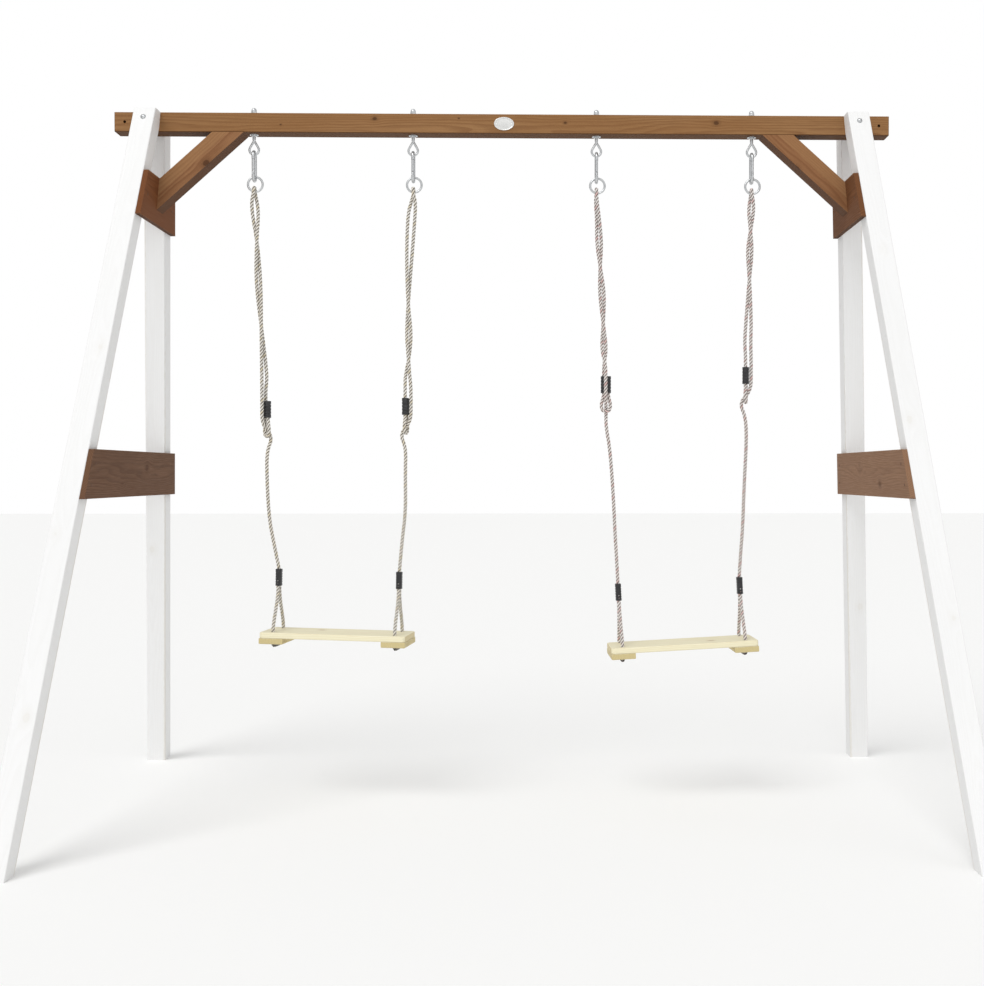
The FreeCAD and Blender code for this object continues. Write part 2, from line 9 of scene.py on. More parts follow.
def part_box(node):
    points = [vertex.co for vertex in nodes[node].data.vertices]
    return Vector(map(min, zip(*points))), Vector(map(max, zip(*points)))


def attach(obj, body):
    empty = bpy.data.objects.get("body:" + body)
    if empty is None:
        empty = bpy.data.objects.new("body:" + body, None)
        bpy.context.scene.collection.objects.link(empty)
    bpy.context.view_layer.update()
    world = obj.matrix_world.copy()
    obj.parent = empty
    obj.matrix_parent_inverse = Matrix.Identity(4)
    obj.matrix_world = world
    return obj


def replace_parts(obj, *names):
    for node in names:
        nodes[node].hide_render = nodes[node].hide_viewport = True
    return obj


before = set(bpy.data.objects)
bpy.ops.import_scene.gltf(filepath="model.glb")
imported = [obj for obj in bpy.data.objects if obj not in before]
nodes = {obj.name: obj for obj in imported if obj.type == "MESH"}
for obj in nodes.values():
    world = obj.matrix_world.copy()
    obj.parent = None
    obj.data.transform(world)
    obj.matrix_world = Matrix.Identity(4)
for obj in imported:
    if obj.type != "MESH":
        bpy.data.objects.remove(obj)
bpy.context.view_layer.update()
bpy.ops.object.select_all(action="DESELECT")

# ---------------------------------------------------------------- top beam
# The beam is a square pine bar, planed, with its long edges eased, and dipped in brown stain.
# It carries the eye bolts and is held between the legs by one bolt at each end.

beam_low, beam_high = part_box("top_beam")
under_beam, beam_top = 2.1, 2.16


def srgb(red, green, blue):
    """A display colour, each part from 11 to 255, as the shader wants it."""
    return (*(((part / 255 + 0.055) / 1.055) ** 2.4 for part in (red, green, blue)), 1.0)


def feed(tree, node, inputs):
    """Gives a shader node's inputs values or other nodes' outputs."""
    for key, value in inputs.items():
        if isinstance(value, bpy.types.NodeSocket):
            tree.links.new(value, node.inputs[key])
        else:
            node.inputs[key].default_value = value


def put(tree, kind, inputs, **settings):
    """Adds a shader node, sets it and feeds it."""
    node = tree.nodes.new("ShaderNode" + kind)
    for key, value in settings.items():
        setattr(node, key, value)
    feed(tree, node, inputs)
    return node


def maths(tree, operation, *values):
    return put(tree, "Math", dict(enumerate(values)), operation=operation).outputs[0]


def vectors(tree, operation, *values):
    node = put(tree, "VectorMath", dict(enumerate(values)), operation=operation)
    return node.outputs["Value" if operation == "LENGTH" else "Vector"]


def scaled(tree, vector, factor):
    return put(tree, "VectorMath", {0: vector, "Scale": factor}, operation="SCALE").outputs["Vector"]


def noise(tree, vector, pace, detail=2.0, rough=0.5):
    """Cloudy noise, and how many times it changes in a metre each way."""
    moved = vectors(tree, "MULTIPLY", vector, pace)
    settings = {"Vector": moved, "Scale": 1.0, "Detail": detail, "Roughness": rough}
    return put(tree, "TexNoise", settings).outputs


def mixed(tree, share, first, second):
    """Two colours mixed by a share."""
    return put(tree, "Mix", {0: share, 6: first, 7: second}, data_type="RGBA").outputs[2]


def band(tree, value, low, high, out_low=0.0, out_high=1.0):
    """A value's range, low to high, spread smoothly over another one."""
    return put(tree, "MapRange", {0: value, 1: low, 2: high, 3: out_low, 4: out_high},
               interpolation_type="SMOOTHSTEP").outputs[0]


def relief(tree, height, strength, distance):
    """The shading of small bumps."""
    return put(tree, "Bump", {"Height": height, "Strength": strength, "Distance": distance}).outputs[0]


def object_place(tree):
    return put(tree, "TexCoord", {}).outputs["Object"]


def fresh_material(name):
    """A new material, with its tree and its main shader."""
    material = bpy.data.materials.new(name)
    material.use_nodes = True
    return material, material.node_tree, material.node_tree.nodes["Principled BSDF"]


def new_group(name, inputs, outputs):
    """An empty shader group with its sockets."""
    tree = bpy.data.node_groups.new(name, "ShaderNodeTree")
    for label, value in inputs.items():
        kind = "NodeSocketFloat" if isinstance(value, float) else "NodeSocketVector"
        tree.interface.new_socket(label, in_out="INPUT", socket_type=kind).default_value = value
    for label, kind in outputs.items():
        tree.interface.new_socket(label, in_out="OUTPUT", socket_type="NodeSocket" + kind)
    return tree, tree.nodes.new("NodeGroupInput").outputs, tree.nodes.new("NodeGroupOutput").inputs


def grouped(tree, group, inputs):
    """A group placed in a material with its own values."""
    return put(tree, "Group", inputs, node_tree=group).outputs


def make_pine_figure():
    """Growth rings round a pith line, cut by the board's faces, with fibres along the grain."""
    tree, given, out = new_group(
        "pine figure",
        {"Board": (0.0, 0.0, 0.0), "Pith": (0.0, 0.0, 0.0), "Ring": 0.004, "Seed": 0.0},
        {"Latewood": "Float", "Fibre": "Float", "Tone": "Float"})
    offset = put(tree, "CombineXYZ", {0: given["Seed"], 1: given["Seed"]}).outputs[0]
    shifted = vectors(tree, "ADD", given["Board"], offset)
    place = vectors(tree, "SUBTRACT", given["Board"], given["Pith"])
    # The rings wander slowly along the board and ripple a little as they go.
    for pace, sway in (((1.3, 9.0, 9.0), 0.05), ((9.0, 60.0, 60.0), 0.0035)):
        drift = vectors(tree, "SUBTRACT", noise(tree, shifted, pace)["Color"], (0.5, 0.5, 0.5))
        place = vectors(tree, "ADD", place, vectors(tree, "MULTIPLY", drift, (0.0, sway, sway)))
    radius = vectors(tree, "LENGTH", vectors(tree, "MULTIPLY", place, (0.0, 1.0, 1.0)))
    turn = maths(tree, "FRACT", maths(tree, "DIVIDE", radius, given["Ring"]))
    late = band(tree, turn, 0.25, 0.85)
    late = maths(tree, "MULTIPLY", late, band(tree, turn, 0.9, 1.0, 1.0, 0.0))
    tree.links.new(late, out["Latewood"])
    tree.links.new(noise(tree, shifted, (16.0, 620.0, 620.0), 3.0, 0.6)[0], out["Fibre"])
    tree.links.new(noise(tree, shifted, (2.2, 16.0, 16.0), 3.0, 0.55)[0], out["Tone"])
    return tree


def make_knot():
    """A branch's stub: the grain parts round it, and it shows as a dark ringed eye."""
    tree, given, out = new_group(
        "knot", {"Board": (0.0, 0.0, 0.0), "Place": (0.0, 0.0, 0.0), "Size": 0.01},
        {"Parted": "Vector", "Eye": "Float", "Halo": "Float"})
    away = vectors(tree, "SUBTRACT", given["Board"], given["Place"])
    crumple = noise(tree, given["Board"], (120.0, 120.0, 120.0), 1.0)[0]
    far = vectors(tree, "LENGTH", vectors(tree, "MULTIPLY", away, (0.72, 1.0, 1.0)))
    far = maths(tree, "DIVIDE", far, given["Size"])
    far = maths(tree, "ADD", far, maths(tree, "MULTIPLY_ADD", crumple, 0.3, -0.15))
    fade = maths(tree, "MULTIPLY", maths(tree, "MULTIPLY", far, far), -0.12)
    pull = scaled(tree, away, maths(tree, "MULTIPLY", maths(tree, "POWER", 2.718, fade), -0.62))
    tree.links.new(vectors(tree, "ADD", given["Board"], pull), out["Parted"])
    rings = maths(tree, "MULTIPLY_ADD", maths(tree, "SINE", maths(tree, "MULTIPLY", far, 16.0)), 0.12, 0.88)
    tree.links.new(maths(tree, "MULTIPLY", band(tree, far, 1.1, 0.8), rings), out["Eye"])
    tree.links.new(band(tree, far, 2.6, 0.7), out["Halo"])
    return tree


def make_edge_wear():
    """How near a point is to the board's edges, broken up as knocks and rubbing leave it."""
    tree, given, out = new_group(
        "edge wear", {"Board": (0.0, 0.0, 0.0), "Half": (1.0, 1.0, 1.0), "Width": 0.004},
        {"Worn": "Float", "End": "Float"})
    left = vectors(tree, "SUBTRACT", given["Half"], vectors(tree, "ABSOLUTE", given["Board"]))
    parts = put(tree, "SeparateXYZ", {0: left}).outputs
    low = maths(tree, "MINIMUM", parts[0], parts[1])
    high = maths(tree, "MAXIMUM", parts[0], parts[1])
    second = maths(tree, "MAXIMUM", low, maths(tree, "MINIMUM", high, parts[2]))
    speckle = noise(tree, given["Board"], (45.0, 110.0, 110.0), 3.0, 0.65)[0]
    speckle = band(tree, speckle, 0.38, 0.68)
    reach = maths(tree, "MULTIPLY", given["Width"], maths(tree, "MULTIPLY_ADD", speckle, 1.4, 0.25))
    kept = band(tree, maths(tree, "DIVIDE", second, reach), 0.2, 1.0)
    tree.links.new(maths(tree, "SUBTRACT", 1.0, kept), out["Worn"])
    tree.links.new(band(tree, parts[0], 0.0012, 0.0004), out["End"])
    return tree


pine_figure = make_pine_figure()
knot = make_knot()
edge_wear = make_edge_wear()


def board_axes(grain, across):
    """The turn that lays a board's own length, width and thickness along its grain."""
    x = Vector(grain).normalized()
    y = Vector(across)
    y = (y - x * y.dot(x)).normalized()
    return Matrix((x, y, x.cross(y))).transposed().to_euler()


def timber(name, middle, half, grain, across, look, knots=(), pith=(0, 0.01, -0.02), seed=0.0):
    """A board's material: pine figure, knots, worn edges, darker ends and painted shade on faces that point
    down, along its own grain.
    """
    material, tree, shader = fresh_material(name)
    turn = board_axes(grain, across)
    board = put(tree, "Mapping", {"Vector": object_place(tree), "Location": middle, "Rotation": turn},
                vector_type="TEXTURE").outputs[0]
    parted, eye, halo = board, 0.0, 0.0
    for place, size in knots:
        stub = {"Place": place, "Size": size}
        found = grouped(tree, knot, {"Board": board, **stub})
        parted = grouped(tree, knot, {"Board": parted, **stub})["Parted"]
        eye = maths(tree, "MAXIMUM", eye, found["Eye"])
        halo = maths(tree, "MAXIMUM", halo, found["Halo"])
    figure = grouped(tree, pine_figure, {"Board": parted, "Pith": pith, "Ring": look["ring"], "Seed": seed})
    worn = grouped(tree, edge_wear, {"Board": board, "Half": half, "Width": look["wear"]})
    normal = put(tree, "NewGeometry", {}).outputs["Normal"]
    upward = put(tree, "SeparateXYZ", {0: normal}).outputs[2]
    fibre = band(tree, figure["Fibre"], 0.3, 0.7)
    # Each layer: where it shows, how strongly, and its colour.
    layers = [(figure["Latewood"], look["contrast"], look["late"]),
              (fibre, look["fibre"], look["streak"]),
              (band(tree, figure["Tone"], 0.3, 0.72), look["patchy"], look["patch"]),
              (halo, look["halo"], look["knot"]),
              (eye, look["eye"], look["knot"]),
              (worn["Worn"], look["bare"], look["worn"]),
              # Painted shade: faces that point down are darkened towards the knot colour, as far as the
              # look's under share says.
              (band(tree, upward, -0.3, -0.8), look["under"], look["knot"]),
              (worn["End"], 0.75, look["end"])]
    colour = look["early"]
    for cover, strength, over in layers:
        colour = mixed(tree, maths(tree, "MULTIPLY", cover, strength), colour, over)
    rough = maths(tree, "MULTIPLY_ADD", fibre, 0.14, look["rough"])
    rough = maths(tree, "ADD", rough, maths(tree, "MULTIPLY", worn["Worn"], 0.1))
    height = maths(tree, "MULTIPLY", figure["Fibre"], 0.6)
    height = maths(tree, "MULTIPLY_ADD", figure["Latewood"], 0.5, height)
    height = maths(tree, "SUBTRACT", height, maths(tree, "MULTIPLY", worn["Worn"], 0.5))
    feed(tree, shader, {"Base Color": colour, "Roughness": rough, "Specular IOR Level": look["gloss"],
                        "Normal": relief(tree, height, look["relief"], 0.0006)})
    return material


def finish_node(name, material):
    """A CAD piece takes its finish."""
    mesh = nodes[name].data
    mesh.materials.clear()
    mesh.materials.append(material)


# The stained look's under share is painted shade: how far faces that point down are darkened.
stained = {
    "ring": 0.0050, "wear": 0.0022, "contrast": 0.55, "fibre": 0.36, "patchy": 0.5, "halo": 0.3,
    "eye": 0.8, "bare": 0.28, "rough": 0.6, "gloss": 0.12, "relief": 0.35, "under": 0.8,
    "early": srgb(154, 115, 76), "late": srgb(118, 80, 49), "streak": srgb(110, 75, 46),
    "patch": srgb(132, 91, 53), "knot": srgb(70, 43, 25), "worn": srgb(174, 135, 94),
    "end": srgb(88, 58, 38),
}
beam_knots = [
    ((-0.40, -0.03, 0.014), 0.005), ((-0.69, -0.03, -0.006), 0.0022), ((0.19, -0.03, 0.004), 0.0035),
    ((0.66, -0.03, 0.006), 0.006), ((-0.14, -0.03, 0.016), 0.0022), ((0.48, 0.03, 0.014), 0.008),
    ((-0.22, 0.03, -0.010), 0.006), ((-0.66, 0.03, 0.004), 0.007),
]
finish_node("top_beam", timber(
    "beam stain", (beam_low + beam_high) / 2, (beam_high - beam_low) / 2, (1, 0, 0), (0, 1, 0), stained,
    knots=beam_knots, pith=(0, 0.022, -0.034), seed=1.7))

# ---------------------------------------------------------------- legs
# Four square pine legs, planed and painted white, so grain and knots only just show through.
# Each pair leans together over the beam and one bolt goes through both heads.

lean = math.radians(17)
splay = math.radians(5.2)
leg_half = 0.0325
painted = {
    "ring": 0.0048, "wear": 0.0026, "contrast": 0.14, "fibre": 0.08, "patchy": 0.30, "halo": 0.06,
    "eye": 0.12, "bare": 0.30, "rough": 0.42, "gloss": 0.4, "relief": 0.45, "under": 0.0,
    "early": srgb(236, 236, 236), "late": srgb(222, 221, 218), "streak": srgb(221, 221, 219),
    "patch": srgb(229, 229, 228), "knot": srgb(200, 190, 168), "worn": srgb(212, 203, 184),
    "end": srgb(205, 192, 165),
}
leg_knots = {
    "front_left_leg": [((0.34, 0.033, 0.008), 0.012), ((-0.22, 0.033, -0.012), 0.010),
                       ((-0.72, 0.033, 0.010), 0.013), ((0.82, 0.0, 0.033), 0.010)],
    "front_right_leg": [((0.12, 0.033, -0.010), 0.013), ((-0.46, 0.033, 0.012), 0.011),
                        ((0.66, 0.033, 0.004), 0.010), ((-0.9, 0.0, 0.033), 0.010)],
    "rear_left_leg": [((0.44, 0.033, 0.004), 0.011), ((-0.30, -0.033, 0.010), 0.012),
                      ((0.1, 0.0, 0.033), 0.010)],
    "rear_right_leg": [((0.26, 0.033, 0.010), 0.012), ((-0.52, -0.033, -0.008), 0.012),
                       ((-0.1, 0.0, 0.033), 0.010)],
}
for number, (name, knots) in enumerate(leg_knots.items()):
    side = -1 if "left" in name else 1
    front = -1 if "front" in name else 1
    low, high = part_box(name)
    slope = Vector((-side * math.sin(splay), -front * math.sin(lean) * math.cos(splay),
                    math.cos(lean) * math.cos(splay)))
    half = (2.0, leg_half, leg_half)
    finish_node(name, timber(
        f"white paint {name}", (low + high) / 2, half, slope, (0, front, 0), painted,
        knots=knots, pith=(0, -0.02, 0.012), seed=4.0 + number))

# ---------------------------------------------------------------- cross plates and small upper plates
# Flat pine boards in dark stain, bolted across the legs' inner faces, their ends cut to the legs' slope.
# The cross plates hold the legs apart, and the small upper ones take the braces.

plate_looks = {
    "left_cross_plate": dict(
        stained, early=srgb(117, 85, 63), late=srgb(80, 54, 37), streak=srgb(78, 55, 41),
        patch=srgb(96, 68, 50), worn=srgb(140, 108, 84), contrast=0.5, eye=0.5),
    "right_cross_plate": dict(
        stained, early=srgb(150, 115, 89), late=srgb(112, 81, 59), streak=srgb(104, 77, 57),
        patch=srgb(130, 98, 76), worn=srgb(165, 132, 104), contrast=0.4, eye=0.4),
    "left_upper_plate": dict(
        stained, early=srgb(125, 78, 46), late=srgb(92, 52, 28), streak=srgb(90, 53, 30),
        patch=srgb(110, 66, 37)),
    "right_upper_plate": dict(
        stained, early=srgb(120, 78, 48), late=srgb(86, 53, 31), streak=srgb(86, 54, 33),
        patch=srgb(106, 68, 42)),
}
plate_half_height = 0.07
plate_half_thick = 0.0075
for number, (name, look) in enumerate(plate_looks.items()):
    side = -1 if name.startswith("left") else 1
    low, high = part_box(name)
    half = ((high.y - low.y) / 2, plate_half_height, plate_half_thick)
    rise = (-side * math.sin(splay), 0, math.cos(splay))
    spots = [((0.10, 0.02, 0.006), 0.011), ((-0.13, -0.03, -0.006), 0.009)] if "cross" in name else []
    finish_node(name, timber(
        f"dark stain {name}", (low + high) / 2, half, (0, 1, 0), rise, look,
        knots=spots, pith=(0, 0.015, -0.045), seed=9.0 + number))

# ---------------------------------------------------------------- corner braces
# A square pine strut at each end, stained like the beam, cut to fit under the beam and against the
# small plate, and held by screws from the plate's far side.

brace_slope = math.radians(42)
brace_half = 0.0325
brace_stain = dict(stained, early=srgb(150, 108, 74), late=srgb(112, 72, 44), streak=srgb(108, 71, 46),
                   patch=srgb(128, 85, 53))
for number, name in enumerate(("left_brace", "right_brace")):
    side = -1 if name.startswith("left") else 1
    low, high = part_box(name)
    half = (1.0, brace_half, brace_half)
    slope = (-side * math.cos(brace_slope), 0, math.sin(brace_slope))
    finish_node(name, timber(
        f"brace stain {name}", (low + high) / 2, half, slope, (0, 1, 0), brace_stain,
        knots=[((0.03, -brace_half, 0.006), 0.008)], pith=(0, 0.03, 0.01), seed=14.0 + number))

# ---------------------------------------------------------------- metal fixings
# Bolts, nuts, washers, screws, eye bolts, snap hooks and rings are steel, hot galvanised.
# The zinc is dull light grey with soft cloudy patches.


def make_zinc_cloud():
    """The patchy crystals of a zinc coat."""
    tree, given, out = new_group(
        "zinc cloud", {"Place": (0.0, 0.0, 0.0), "Grain": 220.0}, {"Patch": "Float", "Grit": "Float"})
    moved = scaled(tree, given["Place"], given["Grain"])
    cells = put(tree, "TexVoronoi", {"Vector": moved, "Scale": 1.0})
    shade = put(tree, "SeparateXYZ", {0: cells.outputs["Color"]}).outputs[0]
    tree.links.new(shade, out["Patch"])
    tree.links.new(noise(tree, moved, (7.0, 7.0, 7.0), 3.0)[0], out["Grit"])
    return tree


zinc_cloud = make_zinc_cloud()


def metal(name, dark, light, strength=0.12, metallic=1.0):
    """Plated steel or cast metal."""
    material, tree, shader = fresh_material(name)
    cloud = grouped(tree, zinc_cloud, {"Place": object_place(tree), "Grain": 420.0})
    feed(tree, shader, {"Base Color": mixed(tree, cloud["Patch"], dark, light), "Metallic": metallic,
                        "Roughness": maths(tree, "MULTIPLY_ADD", cloud["Grit"], 0.22, 0.26),
                        "Normal": relief(tree, cloud["Grit"], strength, 0.0003)})
    return material


def stained_over(name, colour):
    """Steel that took the stain of the timber round it, a little thin in places."""
    material, tree, shader = fresh_material(name)
    thin = noise(tree, object_place(tree), (400.0, 400.0, 400.0), 3.0, 0.6)[0]
    lighter = tuple(min(1.0, 1.5 * part) for part in colour)
    feed(tree, shader, {"Base Color": mixed(tree, band(tree, thin, 0.35, 0.7), colour, lighter),
                        "Roughness": maths(tree, "MULTIPLY_ADD", thin, 0.2, 0.5),
                        "Specular IOR Level": 0.2})
    return material


galvanised = metal("galvanised steel", srgb(190, 192, 194), srgb(216, 218, 219))
for name in nodes:
    if name.endswith(("_gate", "_pins", "_screws")):
        finish_node(name, galvanised)


def begin(name):
    """Names the primitive just added, sets its place into its mesh and opens it for shaping."""
    piece = bpy.context.object
    piece.name = name
    bpy.ops.object.transform_apply(location=True, rotation=True, scale=True)
    bpy.ops.object.mode_set(mode="EDIT")
    bpy.ops.mesh.select_all(action="SELECT")
    return piece


def close(piece, angle=35):
    """Ends the shaping: stray doubles merged, faces turned outward, corners kept and rounds smooth."""
    bpy.ops.mesh.select_all(action="SELECT")
    bpy.ops.mesh.remove_doubles(threshold=1e-6)
    bpy.ops.mesh.normals_make_consistent(inside=False)
    bpy.ops.object.mode_set(mode="OBJECT")
    bpy.ops.object.shade_smooth_by_angle(angle=math.radians(angle))
    piece.select_set(False)
    return piece


def turned(name, steps, sides=32, hollow=False):
    """A piece turned about upright: each step is a height and a radius.

    A hollow one joins its last step to its first.
    """
    bpy.ops.object.select_all(action="DESELECT")
    bpy.ops.mesh.primitive_circle_add(vertices=sides, radius=steps[0][1], location=(0, 0, steps[0][0]),
                                      fill_type="NOTHING" if hollow else "NGON")
    piece = begin(name)
    for (z0, r0), (z1, r1) in zip(steps, steps[1:]):
        bpy.ops.mesh.extrude_region_move(TRANSFORM_OT_translate={"value": (0, 0, z1 - z0)})
        bpy.ops.transform.resize(value=(r1 / r0, r1 / r0, 1), center_override=(0, 0, z1))
    return close(piece)


def hexagonal(name, flats, z0, z1):
    """A nut's six-sided body with its corners eased."""
    bpy.ops.object.select_all(action="DESELECT")
    bpy.ops.mesh.primitive_cylinder_add(vertices=6, radius=flats / math.sqrt(3) - 0.0002, depth=z1 - z0,
                                        location=(0, 0, (z0 + z1) / 2))
    piece = begin(name)
    bpy.ops.mesh.bevel(offset=0.0007, segments=3, affect="EDGES")
    return close(piece, 25)


def washer(name, outer, thick, ease):
    """A flat washer on a 10 mm thread, with its outer corners eased."""
    hole = 0.0053
    return turned(name, [(0.0, hole), (0.0, outer - ease), (ease, outer), (thick - ease, outer),
                         (thick, outer - ease), (thick, hole), (0.0, hole)], hollow=True)


def domed(base, rise, steps=6):
    """A shallow dome's steps, from its rim to its crown."""
    ball = (base * base + rise * rise) / (2 * rise)
    angles = [math.asin(base / ball) * (1 - i / steps) for i in range(steps)] + [0.04]
    return [(rise - ball + ball * math.cos(a), ball * math.sin(a)) for a in angles]


def gather(name, parts, material, body):
    """Joins like parts into one piece, which rides on a body."""
    bpy.ops.object.select_all(action="DESELECT")
    for part in parts:
        part.select_set(True)
    bpy.context.view_layer.objects.active = parts[0]
    if len(parts) > 1:
        bpy.ops.object.join()
    piece = bpy.context.object
    piece.name = name
    piece.data.name = name
    piece.data.materials.clear()
    piece.data.materials.append(material)
    bpy.ops.object.select_all(action="DESELECT")
    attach(piece, body)
    return piece


def placed(part, spot, facing=Quaternion()):
    """A copy of a part, with its own mesh, set at a spot and turned to face."""
    copy = part.copy()
    copy.data = part.data.copy()
    bpy.context.scene.collection.objects.link(copy)
    copy.data.transform(Matrix.Translation(spot) @ facing.to_matrix().to_4x4())
    return copy


def discard(*parts):
    for part in parts:
        bpy.data.objects.remove(part)


forward = Vector((0, -1, 0)).to_track_quat("Z", "Y")
backward = Vector((0, 1, 0)).to_track_quat("Z", "Y")

# Leg bolts: a coach head on each front leg, and a washer, nut and thread end behind.
bolt_low, bolt_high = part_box("leg_bolts")
head_r, head_rise = 0.0075, 0.005
bolt_x, bolt_z = bolt_high.x - head_r, (bolt_low.z + bolt_high.z) / 2
coach_head = turned("coach head", [(-0.001, 0.0072)] + domed(head_r, head_rise))
bolt_r, thread_root, thread_pitch = 0.005, 0.0044, 0.0011
thread_steps = [(-0.145, bolt_r), (-0.012, bolt_r)]
for turn in range(10):
    along = turn * thread_pitch
    thread_steps += [(-0.0115 + along, thread_root), (-0.0110 + along, bolt_r)]
shank = turned("shank", thread_steps + [(0.0, 0.0042)], 20)
parts = []
for side in (-1, 1):
    parts.append(placed(coach_head, (side * bolt_x, bolt_low.y + head_rise, bolt_z), forward))
    parts.append(placed(shank, (side * bolt_x, bolt_high.y, bolt_z), backward))
leg_bolts = gather("leg_bolt_heads", parts, galvanised, "frame")
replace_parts(leg_bolts, "leg_bolts")
nut_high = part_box("leg_nuts")[1]
nut_flats, nut_top, under_nut = 0.017, 0.010, 0.002
big_washer = washer("washer", 0.011, under_nut, 0.0003)
plain_nut = hexagonal("nut", nut_flats, under_nut, nut_top)
parts = [placed(part, (side * bolt_x, nut_high.y - nut_top, bolt_z), backward)
         for side in (-1, 1) for part in (big_washer, plain_nut)]
leg_nuts = gather("leg_bolt_nuts", parts, galvanised, "frame")
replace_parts(leg_nuts, "leg_nuts")

# Plate bolts: coach heads on the outer leg faces, with their shanks in the timber. Two go through each
# end of a cross plate and one through each end of an upper plate.
leg_inset = 1.059
bolt_heights = (1.014, 1.074, 1.887)
shank_end = 0.0795
cap = turned("cap", [(-shank_end - 0.0011, 0.004), (-shank_end, 0.004), (-0.0001, 0.004), (0.0, 0.0094)]
             + domed(0.0094, 0.0049)[1:])
parts = []
for side in (-1, 1):
    out = Vector((side * math.cos(splay), 0, math.sin(splay)))
    for front in (-1, 1):
        for z in bolt_heights:
            x = leg_inset + (beam_top - z) * math.tan(splay)
            leaned = (under_beam - z) * math.tan(lean) / math.cos(splay)
            y = beam_high.y + leg_half / math.cos(lean) + leaned
            spot = Vector((side * x, front * y, z)) + out * 2 * leg_half
            parts.append(placed(cap, spot, out.to_track_quat("Z", "Y")))
plate_bolts = gather("plate_bolt_heads", parts, galvanised, "frame")
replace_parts(plate_bolts, "plate_bolts")
# Their ends come flush through the plates and are stained over with them.
plate_bolts.data.materials.append(stained_over("stained bolt end", srgb(92, 64, 46)))
bolt_end = leg_inset * math.cos(splay) + beam_top * math.sin(splay) + 2 * leg_half - shank_end
for face in plate_bolts.data.polygons:
    if abs(face.center.x) * math.cos(splay) + face.center.z * math.sin(splay) < bolt_end:
        face.material_index = 1

# Eye bolts: a bar bent to a drop-shaped eye under a forged collar, and a dome nut on a washer above.


def bent_bar(name, start, facing, radius, moves, sides=20):
    """A round bar, bent as it is on a former: straight runs and turns, one after another."""
    bpy.ops.object.select_all(action="DESELECT")
    bpy.ops.mesh.primitive_circle_add(vertices=sides, radius=radius, fill_type="NGON", location=start,
                                      rotation=Vector(facing).to_track_quat("Z", "Y").to_euler())
    piece = begin(name)
    for move in moves:
        if len(move) == 3:
            bpy.ops.mesh.extrude_region_move(TRANSFORM_OT_translate={"value": move})
        else:
            angle, middle, axis, steps = move
            bpy.ops.mesh.spin(steps=steps, angle=math.radians(angle), center=middle, axis=axis)
    return close(piece)


hanger_x = {"left_swing_left": -0.778, "left_swing_right": -0.284,
            "right_swing_left": 0.288, "right_swing_right": 0.775}
eye_wire, eye_r = 0.0035, 0.0145
eye_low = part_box("left_swing_left_eye_bolt")[0].z
eye_z = eye_low + eye_wire + eye_r
apex_z = eye_z + 2 * eye_r
slant = Vector((-eye_r * math.cos(math.radians(30)), 0, eye_r * 0.5 - 2 * eye_r))
eye = bent_bar("eye", (0, 0, apex_z), slant, eye_wire,
               [tuple(slant), (240, (0, 0, eye_z), (0, 1, 0), 30), (slant.x, 0, -slant.z)])
washer_thick = 0.0025
collar = [(-0.0065, 0.005), (-0.0055, 0.0062), (-0.0055, 0.0086), (-0.0050, 0.009), (-0.0030, 0.009),
          (-0.0025, 0.0086), (-0.0025, 0.005)]
stem = turned("stem", [(apex_z - 0.004, 0.003), (apex_z - 0.001, 0.0042), (apex_z + 0.003, 0.005)]
              + [(under_beam + z, r) for z, r in collar] + [(beam_top + 0.016, 0.005)])
flat_washer = washer("flat washer", 0.014, washer_thick, 0.0004)
nut_body = hexagonal("nut body", nut_flats, 0.0, 0.0085)
dome_r, dome_foot = 0.008, 0.012
dome_arc = [math.radians(degrees) for degrees in (15, 30, 45, 60, 75, 87)]
nut_dome = turned("nut dome", [(0.008, dome_r), (dome_foot, dome_r)]
                  + [(dome_foot + dome_r * math.sin(a), dome_r * math.cos(a)) for a in dome_arc])
washers, nuts = [], []
for name, x in hanger_x.items():
    piece = gather(f"{name}_eye", [placed(eye, (x, 0, 0)), placed(stem, (x, 0, 0))],
                   galvanised, "frame")
    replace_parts(piece, f"{name}_eye_bolt")
    washers += [placed(flat_washer, (x, 0, z)) for z in (beam_top, under_beam - washer_thick)]
    nuts += [placed(part, (x, 0, beam_top + washer_thick)) for part in (nut_body, nut_dome)]
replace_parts(gather("hanger_washers", washers, galvanised, "frame"), "eye_bolt_washers")
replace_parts(gather("hanger_dome_nuts", nuts, galvanised, "frame"), "eye_bolt_dome_nuts")

# Snap hooks: a long bent bar with a nose and a flattened lug for the gate's pin.
# Rings: round bar bent to a hoop, with the weld's bead on one side.
hook_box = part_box("left_swing_left_snap_hook")
hook_wire, hook_r = 0.005, 0.015
hook_hi = hook_box[1].z - hook_wire - hook_r
hook_lo = hook_box[0].z + hook_wire + hook_r
hook_mid = (hook_hi + hook_lo) / 2
above_gate, below_gate = hook_mid + 0.020, hook_mid - 0.028
bar = bent_bar("bar", (0, -hook_r, above_gate), (0, 0, 1), hook_wire,
               [(0, 0, hook_hi - above_gate), (180, (0, 0, hook_hi), (1, 0, 0), 20),
                (0, 0, hook_lo - hook_hi), (180, (0, 0, hook_lo), (1, 0, 0), 20),
                (0, 0, below_gate - hook_lo)])
bpy.ops.object.select_all(action="DESELECT")
bpy.ops.mesh.primitive_cube_add(size=1, location=(0, -hook_r, hook_mid - 0.0255),
                                scale=(0.004, 0.008, 0.011))
lug = begin("lug")
bpy.ops.mesh.bevel(offset=0.0007, segments=2, affect="EDGES")
close(lug)
pivot = turned("pivot", [(-0.002, 0.0034), (-0.0016, 0.004), (0.0016, 0.004), (0.002, 0.0034)], 24)
pin_z = hook_mid - 0.022
sideways = Vector((1, 0, 0)).to_track_quat("Z", "Y")
ring_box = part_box("left_swing_left_ring")
ring_wire = (ring_box[1].y - ring_box[0].y) / 2
ring_r = (ring_box[1].z - ring_box[0].z) / 2 - ring_wire
ring_z = ring_box[0].z + ring_wire + ring_r
bpy.ops.object.select_all(action="DESELECT")
